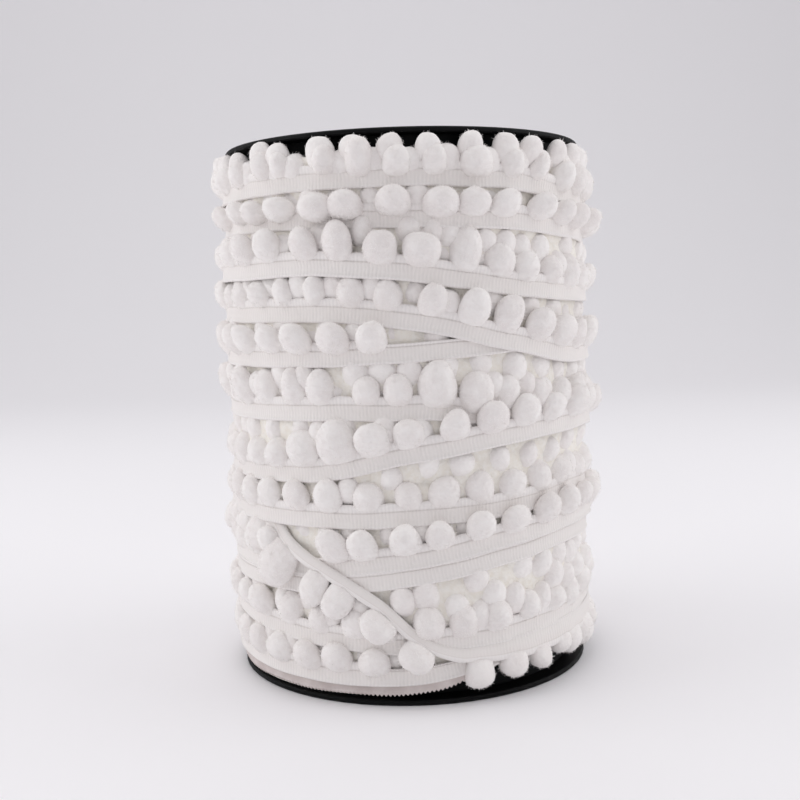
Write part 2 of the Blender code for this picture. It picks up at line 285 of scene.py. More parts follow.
# pompoms that stand off the even pitch: for each turn their places from the first, and then
# degrees along, millimetres up, size, width and height
oddPompoms = {
    "a": {-5: (0, 0, 0.9, 0.95, 1.05), -4: (1, 0, 0.88, 0.95, 1.05), -3: (-1.5, 0, 0.86, 0.97, 1),
          -2: (2, 0, 0.88, 0.97, 1.05), -1: (1, -0.4, 0.9, 0.95, 1.1), 0: (0, -0.4, 0.92, 0.92, 1.05),
          1: (0, -0.4, 0.92, 0.95, 1.05), 2: (2, -0.6, 1, 1, 1), 3: (2, -0.9, 0.9, 0.95, 1.1),
          4: (0, -0.4, 0.88, 0.95, 1.1), 5: (0, 0, 0.88, 0.95, 1.1)},
    "b": {-5: (0, -1, 1.04, 1, 1), -4: (-1, -1.4, 1.04, 1.02, 1), -3: (-1, -1.3, 1.05, 1.02, 1),
          -2: (0, -1.2, 1.08, 1.02, 1), -1: (-1, -0.8, 1.1, 1.02, 1), 0: (0, 0.2, 1.16, 1.04, 1),
          1: (1, 0, 1.14, 1.05, 1), 2: (0, 0, 1.08, 1.05, 1)},
    "c": {-3: (0, 0.3, 1.04, 1, 1.05), -2: (1, 0.2, 0.98, 1, 1), -1: (0.5, 0.5, 1, 0.92, 1.22),
          0: (0, 0, 1.08, 1.04, 1), 1: (0.5, 0, 1.1, 1.05, 1.05), 2: (1, 1.5, 1.04, 1, 1.1),
          3: (2, 0.6, 1, 1, 1.05)},
    "d": {-3: (0, -0.2, 0.86, 1, 0.9), -2: (0, -0.3, 0.84, 1, 0.9), -1: (0, -0.6, 0.88, 1.05, 0.85),
          0: (0, -0.6, 0.85, 1.05, 0.9), 1: (0, 0, 0.96, 1, 1.05)},
    "e": {-1: (1, 0, 1.02, 1, 1.05), 0: (-0.5, 0, 1.02, 1, 1.05)},
    "f": {-1: (0, -0.5, 0.9, 1, 1), 0: (1.5, -0.8, 0.92, 1, 1), 1: (0, -0.6, 1.14, 1.02, 1.05),
          2: (-1, -0.4, 1.14, 1.02, 1.05), 3: (-1, 0.2, 1, 1, 1.05)},
    "g": {-3: (-2, 0.8, 1.1, 1.05, 1), -2: (0, 0.8, 1.16, 1.08, 1), -1: (-0.5, 1.2, 1.12, 1.05, 0.95),
          0: (-2, 0.8, 1, 1.1, 0.75)},
    "k": {-5: (0, -0.9, 0.95, 1, 1), -4: (1, -2.2, 0.95, 1, 1), -3: (4, -2.8, 1.2, 1.1, 0.95),
          -2: (4, -1, 1, 1, 1), -1: (1, -0.4, 1, 1.05, 0.92), 0: (3, 1, 1.08, 1.14, 0.8),
          1: (0, 1, 1.05, 1.1, 0.85), 2: (5, -1.9, 0.84, 1.3, 0.8), 3: (6, 0.2, 0.95, 1, 0.9),
          4: (5, 0.6, 0.9, 1, 0.9), 5: (4, 0.8, 0.86, 1, 0.9)},
}
# where a turn's pompoms are tucked out of sight under a turn that crosses it: from and to
bare = {"e": (-6, 100)}
# how much further in the pompoms of a turn sit, so that its tape hides their lower halves
sunk = {"a": -0.9, "h": 1.0, "l": 0.5, "m": 1.2}
# a turn that shows no pompoms of the layer beneath nearer to its own than this
apart = {"h": 5.9}


def pompomsOf(layer, odd):
    # one pompom at every pitch along the stretches that have them
    names = ("angle", "side", "rise", "size", "wide", "tall", "lift", "sunk", "clear")
    rows = []
    pitch = layer["pitch"]
    for number, turn in enumerate(layer["rows"]):
        least = math.ceil((turn["start"] - turn["first"]) / pitch)
        most = math.floor((turn["stop"] - turn["first"]) / pitch)
        for step in range(least, most + 1):
            along, lift, size, wide, tall = odd.get(turn["name"], {}).get(step, (0, 0, 1, 1, 1))
            chance = np.random.default_rng((number, step + 100))
            spot = turn["first"] + step * pitch + along + chance.normal(0, pompom["strayAlong"])
            hidden = bare.get(turn["name"], (0, 0))
            if hidden[0] < spot < hidden[1]:
                continue
            angle = 360 * number + spot
            rows.append((angle, turn["side"], turn["rise"] + chance.normal(0, pompom["strayUp"]),
                         pompom["radius"] * size * (1 + pompom["vary"] * chance.uniform(-1, 0.7)),
                         wide * chance.uniform(*pompom["wide"]), tall * chance.uniform(*pompom["tall"]), lift,
                         sunk.get(turn["name"], 0), apart.get(turn["name"], between["clear"])))
    return dict(zip(names, np.array(rows, float).T))


def seatPompoms(layer, poms):
    # where a tape at its own level is too near above, the pompom leans out over it and is flatter
    # from in to out; under a tape that lies further out it is squeezed lower
    angle, side, size = poms["angle"], poms["side"], poms["size"]
    _, _, _, up, level = frameAt(layer, angle)
    here = through(layer["heights"], angle)
    stem = poms["rise"] - tapeWidth / 2
    near = np.full(len(angle), farOff)
    lid = np.full(len(angle), farOff)
    first, last, turns = layer["first"], layer["last"], len(layer["rows"])
    for turn in range(-turns, turns + 1):
        other = angle + 360 * turn
        inside = (other >= first) & (other <= last) & (turn != 0)
        held = np.clip(other, first, last)
        rise = (through(layer["heights"], held) - here) * side
        difference = through(layer["levels"], held) - level
        above = inside & (rise > tapeWidth / 3)
        near = np.where(above & (abs(difference) < sameLevel), np.minimum(near, rise - tapeWidth), near)
        lid = np.where(above & (difference >= sameLevel), np.minimum(lid, rise - tapeWidth), lid)
    leans = (level > sameLevel) | (near < stem + size * pompom["leanRoom"])
    depth = size * np.where(leans, pompom["leanDepth"], pompom["depth"])
    height = np.minimum(1, (lid + pompom["squeeze"]) / (stem + size))
    turned = (angle + 180) % 360 - 180
    aside = np.clip((abs(turned) - pompom["sides"][0]) / np.ptp(pompom["sides"]), 0, 1)
    poms["lift"] = poms["lift"] - side * np.interp(aside, (0, 1), pompom["droop"])
    size = poms["size"] = size * (1 + pompom["sideSize"] * aside)
    # a narrow slit below the tape above is closed: the ball moves up, and it grows
    slit = np.minimum(near, lid) - stem - size * poms["tall"] - poms["lift"]
    narrow = (side > 0) & (abs(slit) < pompom["slit"])
    slit = np.where(narrow, slit + pompom["spare"], 0).clip(0, pompom["most"])
    poms["lift"] = poms["lift"] + slit * pompom["moved"]
    poms["tall"] = poms["tall"] + slit * pompom["grown"] / size
    raised = np.where(level > 0, np.maximum(level - sameLevel, 0), level)
    further, share = pompom["leanOut"]
    leaning = layer["radius"] + layer["level"] * raised + further + depth * share
    stand = np.interp(turned, *zip(*pompom["stand"]))
    radius = np.where(leans, leaning, layer["seat"]) - poms["sunk"] + stand
    middle = around(angle, radius, here)
    middle += up * (side * (tapeWidth / 2 + stem * height) + poms["lift"])[:, None]
    poms.update(centre=middle, depth=depth, height=height)
    keep = (height > pompom["least"]) & ((side < 0) | ~crossed(layer, poms))
    return {key: value[keep] for key, value in poms.items()}


# the pompoms of the layer beneath, in the gaps between the outer turns
between = {
    "tries": 9000,  # places tried at random
    "apart": 6.6,  # the least distance of two
    "radius": 4.9,
    "vary": 0.1,  # how much the sizes differ
    "under": 2.0,  # the least distance of their middles below a tape
    "over": 0.8,  # and above one
    "clear": 2.7,  # nearer to an outer pompom than this it would only show as a knob above it
    "reach": 58.7,  # the radius that their faces reach
    "shallow": 57.3,  # where they stand close below a tape
    "hidden": 56.1,  # and where they lie behind one, being less than "low" above it
    "low": 2.6,
    "stray": 0.25,  # how far their reach strays
    "peek": 58.0,  # the reach of those in the table below
    "back": 49.0,  # the radius where they all start
    "wide": (0.95, 1.08),  # the range of their width to their radius
    "tall": (0.95, 1.1),  # and of their height
    "top": 146.2,  # they are tried between these heights
    "bottom": 12.0,
    "narrow": 1.0,  # a gap narrower than this has none
    "play": 0.4,  # how far one may lie from the middle of a gap that is only just wide enough
    "upright": 0.6,  # their heights count this much in their distance to an outer pompom
    "first": 1.2,  # those less than this below the highest place in a gap are kept first
    "close": 1.0,  # and those less than this below it reach out less
}
# the ones that stand out of those gaps by themselves: degrees, height, size
peeking = ((-12, 132.6, 4.3), (1.5, 132.8, 4.5), (8, 132.2, 4.2), (13, 131.4, 4.2), (18.5, 130.6, 4.3),
           (24, 129.4, 4.2), (30, 128.4, 4.4), (36, 127.4, 4.3), (44, 126.6, 4.4), (5, 68.6, 4.4),
           (15, 68.6, 4.5), (27, 68.8, 4.4), (38, 69, 4.5), (48, 69.4, 4.4), (-46, 78, 4.4), (-34, 78, 4.3))
# the two rows under the upper flange: one above and behind the first turn's pompoms, which closes the
# gap where that turn starts, and a lower one further in, between them
crown = {
    "radius": 4.5,
    "vary": (0.92, 1.05),
    "wide": (1.0, 1.12),
    "depth": 3.7,
    "shift": -1.5,  # degrees from the first turn's pompoms
    "top": 159.1,  # the height of their tops
    "stray": 0.7,  # how far below it some end
    "out": 55.5,  # the radius of the upper row's middles
    "in": 54.4,  # and of the lower one's
    "lower": 3.6,  # how much lower that one is
    "closing": 5,  # no pompom is added nearer than this to the row's first, in degrees
}


def onRoll(degrees):
    # the length of that angle in millimetres, on a radius of 57 mm
    return np.radians(degrees) * 57


def pompomsBetween(layer, front):
    # random places, kept where they lie between two tapes and clear of those kept before
    angle = rng.uniform(-180, 180, between["tries"])
    height = rng.uniform(between["bottom"], between["top"], between["tries"])
    tapes = np.stack([through(layer["heights"], angle + 360 * turn) for turn in range(len(layer["rows"]))])
    under, over = between["under"], between["over"]
    upper = np.where(tapes > height, tapes, farOff).min(0) - tapeWidth / 2
    lower = np.where(tapes <= height, tapes, -farOff).max(0) + tapeWidth / 2
    lower = np.maximum(lower, between["bottom"] - 1)
    slack = (upper - lower - under - over) / 2
    middle = (upper - under + lower + over) / 2
    free = abs(height - middle) <= np.maximum(slack, between["play"])
    free &= upper - lower > between["narrow"]
    frontTurn = np.degrees(np.arctan2(front["centre"][:, 0], -front["centre"][:, 1]))
    bend = (angle[:, None] - frontTurn[None] + 180) % 360 - 180
    far = np.hypot(onRoll(bend), between["upright"] * (height[:, None] - front["centre"][None, :, 2]))
    free &= (far > front["clear"][None]).all(1)
    kept = [(*spot, between["peek"]) for spot in peeking]
    places = np.array([spot[:2] for spot in kept])
    # those close below a tape first, so that they stand in a row under its edge
    later = np.where(upper - height < under + between["first"], 0, 1)
    order = np.argsort(later + rng.uniform(0, 0.5, len(angle)))
    for index in order[free[order]]:
        bend = (places[:, 0] - angle[index] + 180) % 360 - 180
        if np.hypot(onRoll(bend), places[:, 1] - height[index]).min() > between["apart"]:
            places = np.vstack([places, (angle[index], height[index])])
            close = upper[index] - height[index] < under + between["close"]
            reach = between["shallow"] if close else between["reach"]
            if height[index] - lower[index] < between["low"]:
                reach = between["hidden"]
            size = between["radius"] * (1 + between["vary"] * rng.uniform(-1, 1))
            kept.append((angle[index], height[index], size, reach + rng.normal(0, between["stray"])))
    angle, height, size, reach = np.array(kept).T
    count = len(angle)
    poms = {"angle": angle, "size": size, "wide": rng.uniform(*between["wide"], count),
            "tall": rng.uniform(*between["tall"], count), "height": np.ones(count),
            "depth": (reach - between["back"]) / 2,
            "centre": around(angle, (reach + between["back"]) / 2, 0.0)}
    poms["centre"][:, 2] = height
    angle = np.sort(front["angle"][front["angle"] < 180]) + crown["shift"]
    rest = np.arange(angle[-1] + layer["pitch"], angle[0] + 360 - crown["closing"], layer["pitch"])
    angle = np.concatenate([angle, rest])
    count = 2 * len(angle)
    lowerRow = np.arange(count) % 2 == 1
    angle = np.repeat(angle, 2) + np.where(lowerRow, layer["pitch"] / 2, 0)
    top = {"angle": angle, "size": crown["radius"] * rng.uniform(*crown["vary"], count),
           "wide": rng.uniform(*crown["wide"], count), "tall": np.ones(count), "height": np.ones(count),
           "depth": np.full(count, crown["depth"]),
           "centre": around(angle, np.where(lowerRow, crown["in"], crown["out"]), 0.0)}
    top["centre"][:, 2] = (crown["top"] - top["size"] + rng.uniform(-crown["stray"], 0, count)
                           - np.where(lowerRow, crown["lower"], 0))
    return {key: np.concatenate([poms[key], top[key]]) for key in poms}


def crossed(layer, poms):
    # whether another turn's tape runs through the pompom, deeper than its skin; the tape is tested
    # at its face's middle and both edges, every 2 degrees
    skin, face, beside = 1.8, 0.5, 90
    angles = np.arange(layer["first"], layer["last"], 2.0)
    centre, out, _, up, _ = frameAt(layer, angles)
    _, outward, ahead, upward, _ = frameAt(layer, poms["angle"])
    hit = np.zeros(len(poms["angle"]), bool)
    for share in (-0.5, 0, 0.5):
        offset = (centre + out * face + up * tapeWidth * share)[None] - poms["centre"][:, None]
        far = abs(angles[None] - poms["angle"][:, None]) > beside
        sizes = (poms["size"], poms["depth"], poms["size"] * poms["height"])
        parts = [np.einsum("pki,pi->pk", offset, axis) / (size[:, None] - skin)
                 for axis, size in zip((ahead, outward, upward), sizes)]
        # a tape further in than the pompom's middle is hidden behind it
        hit |= ((sum(part**2 for part in parts) < 1) & (parts[1] > 0.1) & far).any(1)
    return hit


def ballProfile(rings):
    # from the root to the top: a half circle above; below it the sides run down to the root,
    # nearly straight across the front and more sloped from out to in
    turn = np.linspace(-math.pi / 2, math.pi / 2, rings + 1)
    width, depth = np.cos(turn), np.cos(turn)
    lower = turn < 0
    width[lower] = 1 - (1 - pompom["neckWide"]) * np.sin(turn[lower]) ** 2
    depth[lower] = 1 - (1 - pompom["neckDeep"]) * np.sin(turn[lower]) ** 2
    return width[:-1], depth[:-1], np.sin(turn)


def addPompoms(name, root, centre, sideways, sizes, material, tone, seed, ball):
    # each pompom is a ring grid on the line from its root to its centre; sizes are wide, deep and tall
    chance = np.random.default_rng(seed)
    count, sides, lumps = len(root), ball["sides"], pompom["lumps"]
    width, thick, height = ballProfile(ball["rings"])
    stem = np.linalg.norm(centre - root, axis=1)
    axis = (centre - root) / stem[:, None]
    across = sideways - axis * np.einsum("pi,pi->p", sideways, axis)[:, None]
    across /= np.linalg.norm(across, axis=1)[:, None]
    deep = np.cross(axis, across)
    wide, depth, tall = sizes.T
    rings = len(width)
    spin = np.linspace(0, 2 * math.pi, sides, endpoint=False) + chance.uniform(0, phases, count)[:, None]
    ringX = width[None, :, None] * np.cos(spin)[:, None, :]
    ringY = thick[None, :, None] * np.sin(spin)[:, None, :]
    below = np.maximum(stem, tall * pompom["shortest"])[:, None]
    rise = np.where(height[None, :-1] < 0, height[None, :-1] * below, height[None, :-1] * tall[:, None])
    direction = np.stack([ringX, ringY, np.broadcast_to(height[None, :-1, None], ringX.shape)], -1)
    bump = np.zeros(ringX.shape)
    for _ in range(pompom["lumpWaves"]):
        way = chance.normal(0, pompom["lumpTurns"], (count, 3))
        phase = chance.uniform(0, phases, count)[:, None, None]
        bump += np.sin(np.einsum("prsi,pi->prs", direction, way) + phase)
    swell = 1 + lumps * bump * np.clip(height[:-1] + 1.1, 0, 1)[None, :, None]
    grid = (centre[:, None, None]
            + across[:, None, None] * (wide[:, None, None] * ringX * swell)[..., None]
            + deep[:, None, None] * (depth[:, None, None] * ringY * swell)[..., None]
            + axis[:, None, None] * (rise[:, :, None] * swell)[..., None])
    foot = centre - axis * (below + pompom["foot"])
    top = centre + axis * (tall * (1 + lumps * bump[:, -1].mean(1)))[:, None]
    each = rings * sides + 2
    points = np.concatenate([grid.reshape(count, -1, 3), foot[:, None], top[:, None]], 1).reshape(-1, 3)
    side = np.arange(sides)
    after = (side + 1) % sides
    last = (rings - 1) * sides
    footFan = np.stack([side * 0 + rings * sides, after, side], -1)
    topFan = np.stack([side * 0 + rings * sides + 1, last + side, last + after], -1)
    shift = (np.arange(count) * each)[:, None, None]
    quads = (gridFaces(rings, sides)[None] + shift).reshape(-1, 4)
    caps = (np.concatenate([footFan, topFan])[None] + shift).reshape(-1, 3)
    made = addMesh(name, points, (quads, caps), material, tone=np.repeat(tone, each))
    rounding = made.modifiers.new("rounding", "SUBSURF")
    rounding.levels = rounding.render_levels = 1
    return made


fuzz = {
    "outer": 270, "inner": 80,  # fibre ends on each pompom
    "length": 1.0, "vary": (0.5, 1.1),
    "width": 0.1,  # half of a blade's width at its foot
    "keel": 0.07,  # how far its keel's foot lies below the surface
    "lean": (30, 75),  # degrees from the surface's normal
    "facing": -0.25,  # none grow where the surface faces further inward than this
}


def addFuzz(name, piece, total, material, seed):
    # fibre ends on the outward faces of the rounded pompoms: narrow blades with a keel, which lean
    # any way round at a chance angle from the surface's normal, their broad face outward
    chance = np.random.default_rng(seed)
    mesh = piece.evaluated_get(bpy.context.evaluated_depsgraph_get()).to_mesh()
    points, normals = np.empty(len(mesh.vertices) * 3), np.empty(len(mesh.vertices) * 3)
    mesh.vertices.foreach_get("co", points)
    mesh.vertices.foreach_get("normal", normals)
    corners = np.empty(len(mesh.polygons) * 4, np.int32)
    mesh.loops.foreach_get("vertex_index", corners)
    points, normals, corners = points.reshape(-1, 3) / mm, normals.reshape(-1, 3), corners.reshape(-1, 4)
    middle, facing = points[corners].mean(1), normals[corners].mean(1)
    outward = middle * [1, 1, 0]
    outward /= np.linalg.norm(outward, axis=1)[:, None]
    diagonals = points[corners[:, 2]] - points[corners[:, 0]], points[corners[:, 3]] - points[corners[:, 1]]
    weight = np.linalg.norm(np.cross(*diagonals), axis=1)
    weight *= np.einsum("fi,fi->f", outward, facing) > fuzz["facing"]
    chosen = corners[chance.choice(len(corners), total, p=weight / weight.sum())]
    u, v = chance.uniform(0, 1, (2, total, 1))
    shares = ((1 - u) * (1 - v), u * (1 - v), u * v, (1 - u) * v)
    spot = sum(share * points[chosen[:, i]] for i, share in enumerate(shares))
    normal = sum(share * normals[chosen[:, i]] for i, share in enumerate(shares))
    normal /= np.linalg.norm(normal, axis=1)[:, None]
    along = np.cross(normal, chance.normal(0, 1, normal.shape))
    along /= np.linalg.norm(along, axis=1)[:, None]
    lean = np.radians(chance.uniform(*fuzz["lean"], (total, 1)))
    grow = normal * np.cos(lean) + along * np.sin(lean)
    side = np.cross(along, normal) * fuzz["width"]
    tip = spot + grow * fuzz["length"] * chance.uniform(*fuzz["vary"], (total, 1))
    feet = [spot + side, spot - side, spot - normal * fuzz["keel"]]
    ends = np.stack(feet + [tip], 1).reshape(-1, 3)
    blade = np.array([[0, 1, 2], [0, 3, 1], [1, 3, 2], [2, 3, 0]])
    faces = blade[None] + (np.arange(total) * 4)[:, None, None]
    made = addMesh(name, ends, (faces.reshape(-1, 3),), material)
    # the broad faces are lit as the surface that they stand on is, the others by their own normals
    corners = np.zeros((total, 4, 3, 3))
    corners[:, 1] = normal[:, None]
    made.data.polygons.foreach_set("use_smooth", np.tile([False, True, False, False], total))
    made.data.normals_split_custom_set(corners.reshape(-1, 3).tolist())
    return made


# the tape's section from its lower edge round its face: across from the middle and out, in
# millimetres, and how much of the scallop's height each point takes
tapeSection = (
    (-2.45, -0.5, 0), (-2.75, -0.15, 0), (-2.8, 0.35, 0), (-2.5, 0.68, 0), (-2.1, 0.72, 0),
    (-1.75, 0.5, 0), (-0.7, 0.42, 0), (0.5, 0.44, 0), (1.55, 0.6, 0), (1.95, 0.62, 0),
    (2.15, 0.38, 0), (2.35, 0.55, 0.05), (2.5, 0.8, 0.45), (2.6, 0.7, 0.85), (2.65, 0.25, 1),
    (2.6, -0.25, 0.85), (2.4, -0.5, 0.2), (0, -0.55, 0),
)
header = {
    "scallop": 2.0,  # the height of a scallop
    "plain": 0.4,  # and of the edge where no pompoms stand
    "flatter": 0.6,  # the power of the sine, which flattens its top
    "narrow": 0.93,  # the section is drawn this much narrower
    "wave": (0.3, 26),  # how much the face wavers from in to out, and over how many degrees
    "wobble": (0.25, 31),  # and up and down
}


def addTape(name, layer, roots, material):
    # the section carried along the path; a scallop rises between each pair of neighbouring roots,
    # as half a sine drawn flatter on top, and the tape's face and height waver a little
    angles = np.arange(layer["first"], layer["last"] + 0.01, layer["step"])
    order = np.sort(roots)
    gap = np.searchsorted(order, angles).clip(1, len(order) - 1)
    left, right = order[gap - 1], order[gap]
    share = np.clip((angles - left) / np.maximum(right - left, 1e-6), 0, 1)
    near = (right - left) < 2 * layer["pitch"]
    scallop = header["scallop"] * np.sin(math.pi * share) ** header["flatter"]
    scallop = np.where(near, scallop, header["plain"])
    centre, out, _, up, _ = frameAt(layer, angles)
    wave, waveSpan = header["wave"]
    wobble, wobbleSpan = header["wobble"]
    centre[:, 2] += wobble * smoothNoise(angles, 5, wobbleSpan)
    centre += out * (wave * smoothNoise(angles, 3, waveSpan))[:, None]
    twist = np.radians(through(layer["twists"], angles))[:, None]
    up, out = up * np.cos(twist) + out * np.sin(twist), out * np.cos(twist) - up * np.sin(twist)
    section = np.array(tapeSection)
    across = section[None, :, 0] * header["narrow"] + scallop[:, None] * section[None, :, 2]
    across *= through(layer["curls"], angles)[:, None]
    points = centre[:, None] + up[:, None] * across[..., None] + out[:, None] * section[None, :, 1, None]
    rows, columns = across.shape
    length = np.concatenate([[0], np.cumsum(np.linalg.norm(np.diff(centre, axis=0), axis=1))])
    faces = gridFaces(rows, columns)
    # the map is in millimetres, along and across; the last column is joined to the first one's place
    column = faces % columns
    column = np.where((column == 0) & (column[:, :1] == columns - 1), columns, column)
    width = np.append(section[:, 0], section[0, 0])[column]
    uv = np.stack([length[faces // columns], width], -1).reshape(-1, 2)
    ribbed = np.repeat(through(layer["curls"], angles), columns)
    return addMesh(name, points.reshape(-1, 3), (faces,), material, uv=uv, tone=ribbed)


def addPile(prefix, poms, root, ahead, node, parts, ball, seed):
    # the pompoms as joined meshes, and the fibre ends on them
    tall = poms["size"] * poms["height"] * poms["tall"]
    sizes = np.stack([poms["size"] * poms["wide"], poms["depth"], tall], 1)
    for number, part in enumerate(np.array_split(np.arange(len(root)), parts)):
        piece = addPompoms(f"{prefix}Pompoms{number + 1}", root[part], poms["centre"][part], ahead[part],
                           sizes[part], pile, rng.uniform(0, 1, len(part)), seed + number, ball)
        place(piece, "trim_yarn", node)
        total = fuzz[prefix] * len(part)
        ends = addFuzz(f"{prefix}Fuzz{number + 1}", piece, total, fibreEnds, seed + 60 + number)
        place(ends, "trim_yarn", node)
    print(prefix, "pompoms ready:", len(root))


# cut polyester pile, fluffed and steamed: matt, very pale, its edge softly lit by the fibre ends
pile, tree, finish = newMaterial("cutPolyesterPile", Roughness=0.95, Sheen_Weight=0.2, Sheen_Roughness=0.6)
coords = addNode(tree, "TexCoord").outputs["Object"]
fibres = addNode(tree, "TexNoise", {"Vector": coords, "Scale": 1 / (1.3 * mm), "Detail": 4})
clumps = addNode(tree, "TexNoise", {"Vector": coords, "Scale": 1 / (3 * mm), "Detail": 2})
height = addNode(tree, "Math", {0: fibres, 1: clumps}, operation="ADD")
addNode(tree, "Bump", {"Height": height, "Strength": 0.5, "Distance": 0.7 * mm}, feeds=finish["Normal"])
# each pompom has its own white, and the hollows between its tufts are painted a little greyer: painted shade
own = addNode(tree, "Attribute", attribute_name="tone").outputs["Fac"]
toneAndHollowShade = addNode(tree, "Math", {0: own, 1: 0.35, 2: clumps}, operation="MULTIPLY_ADD")
addNode(tree, "ValToRGB", {"Fac": toneAndHollowShade}, ((0.4, "#F3EEEC"), (0.9, "#FBF8F6")), finish["Base Color"])

# the loose ends of the same fibre, paler where the light passes through them
fibreEnds, tree, finish = newMaterial("looseFibreEnds", Roughness=0.95)
coords = addNode(tree, "TexCoord").outputs["Object"]
patches = addNode(tree, "TexNoise", {"Vector": coords, "Scale": 1 / (5 * mm), "Detail": 2})
addNode(tree, "ValToRGB", {"Fac": patches}, ((0.35, "#F9F5F3"), (0.65, "#FFFCFA")), finish["Base Color"])

# woven polyester header tape: a cross rib at each pick, about 1 mm apart, and a smooth bead on its
# edge; its map is in millimetres, so a noise's scale is one over the size of its lumps
tapeYarn, tree, finish = newMaterial(
    "wovenPolyesterTape", Roughness=0.85, Sheen_Weight=0.1, Sheen_Roughness=0.5)
rib = 1.05
uvMap = addNode(tree, "UVMap", uv_map="along")
spots = addNode(tree, "SeparateXYZ", {"Vector": uvMap})
uneven = addNode(tree, "TexNoise", {"Vector": uvMap, "Scale": 0.35, "Detail": 2})
slip = addNode(tree, "Math", {0: uneven, 1: 5}, operation="MULTIPLY")
turns = addNode(tree, "Math", {0: spots, 1: 2 * math.pi / rib, 2: slip}, operation="MULTIPLY_ADD")
wave = addNode(tree, "Math", {0: turns}, operation="SINE")
share = addNode(tree, "MapRange", {"Value": uneven, "From Min": 0.35, "From Max": 0.65, "To Min": 0.25})
# the ribs fade where the tape is curled
flat = addNode(tree, "Attribute", attribute_name="tone").outputs["Fac"]
strong = addNode(tree, "MapRange", {"Value": flat, "From Min": 0.5, "To Min": 0.15})
plain = addNode(tree, "Math", {0: wave, 1: share}, operation="MULTIPLY")
ribs = addNode(tree, "Math", {0: plain, 1: strong}, operation="MULTIPLY")
yarns = addNode(tree, "TexNoise", {"Vector": uvMap, "Scale": 2.2, "Detail": 2})
# the face from the lower bead to the scallops: a pale bead, the ribbed middle, a shaded groove, pale loops;
# the raised bead and loops are painted highlight, the groove painted shade
bands = addNode(tree, "MapRange", {"Value": spots.outputs["Y"], "From Min": -2.8, "From Max": 2.8})
bandLightAndShade = addNode(tree, "ValToRGB", {"Fac": bands}, (
    (0.12, "#F5F1EF"), (0.16, "#F4F0ED"), (0.82, "#F3EEEB"), (0.87, "#E9E3DF"), (0.92, "#F8F4F2")))
# the hollows between the ribs are painted darker: painted shade
ribHollowShade = addNode(tree, "MapRange", {"Value": ribs, "From Min": -1, "To Min": 0.92})
addNode(tree, "VectorMath", {0: bandLightAndShade, "Scale": ribHollowShade}, feeds=finish["Base Color"], operation="SCALE")
relief = addNode(tree, "Math", {0: yarns, 1: 0.6, 2: ribs}, operation="MULTIPLY_ADD")
addNode(tree, "Bump", {"Height": relief, "Strength": 0.6, "Distance": 0.07 * mm}, feeds=finish["Normal"])

# the lowest turn's looped edge: the same yarn, painted greyer and darker in uneven patches, as painted shade
# where it lies above the lower flange
shadedYarn, tree, finish = newMaterial("shadedPolyesterYarn", Roughness=0.9)
coords = addNode(tree, "TexCoord").outputs["Object"]
loops = addNode(tree, "TexNoise", {"Vector": coords, "Scale": 1 / (0.8 * mm), "Detail": 2})
shadePatches = addNode(tree, "TexNoise", {"Vector": coords, "Scale": 1 / (7 * mm), "Detail": 3})
addNode(tree, "ValToRGB", {"Fac": shadePatches}, ((0.35, "#CFC4C1"), (0.65, "#E0D7D4")), finish["Base Color"])
addNode(tree, "Bump", {"Height": loops, "Strength": 0.5, "Distance": 0.3 * mm}, feeds=finish["Normal"])

# the turns beneath, out of the light: the same yarn, painted a little creamier as the warm shade between the
# outer turns, and painted darker in the hollows between its tufts
under, tree, finish = newMaterial("innerPolyesterYarn", Roughness=1)
coords = addNode(tree, "TexCoord").outputs["Object"]
tufts = addNode(tree, "TexNoise", {"Vector": coords, "Scale": 1 / (1.5 * mm), "Detail": 3})
addNode(tree, "ValToRGB", {"Fac": tufts}, ((0.35, "#F2EDE4"), (0.65, "#F8F5EF")), finish["Base Color"])
addNode(tree, "Bump", {"Height": tufts, "Strength": 0.6, "Distance": 0.7 * mm}, feeds=finish["Normal"])

# moulded black polystyrene: satin, nearly black, its gloss uneven from the mould and from handling
plastic, tree, finish = newMaterial(
    "mouldedBlackPolystyrene", Base_Color=hexColour("#070809"), Specular_IOR_Level=0.12)
coords = addNode(tree, "TexCoord").outputs["Object"]
clouds = addNode(tree, "TexNoise", {"Vector": coords, "Scale": 1 / (7 * mm), "Detail": 4})
gloss = {"Value": clouds, "From Min": 0.35, "From Max": 0.65, "To Min": 0.47, "To Max": 0.53}
addNode(tree, "MapRange", gloss, feeds=finish["Roughness"])
grain = addNode(tree, "TexNoise", {"Vector": coords, "Scale": 1 / (0.5 * mm), "Detail": 2})
addNode(tree, "Bump", {"Height": grain, "Strength": 0.3, "Distance": 0.02 * mm}, feeds=finish["Normal"])
print("materials ready")

for name in ("flange_top", "flange_bottom"):
    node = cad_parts[name]
    node.data.materials.clear()
    node.data.materials.append(plastic)

front = seatPompoms(outer, pompomsOf(outer, oddPompoms))
place(addTape("outerTape", outer, front["angle"], tapeYarn), "trim_yarn", "outer_turns")
centre, out, ahead, up, _ = frameAt(outer, front["angle"])
twist = np.radians(through(outer["twists"], front["angle"]))[:, None]
root = centre + (up * np.cos(twist) + out * np.sin(twist)) * pompom["root"] - out * pompom["behind"]
addPile("outer", front, root, ahead, "outer_turns", 2, fineBall, 20)

behind = pompomsBetween(outer, front)
ahead = around(behind["angle"] + 90, 1, 0)
root = behind["centre"] - upright * behind["size"][:, None] - around(behind["angle"], 1, 0)
addPile("inner", behind, root, ahead, "wound_roll", 2, plainBall, 40)


def ringGrid(name, angles, heights, radii, material, closed):
    # a grid of rings from the top one down: heights and radii are one row a ring, one column an angle
    turn = np.radians(angles)
    points = np.stack([radii * np.sin(turn), -radii * np.cos(turn), heights], -1).reshape(-1, 3)
    return addMesh(name, points, (gridFaces(*heights.shape, closed, flipped=True),), material)


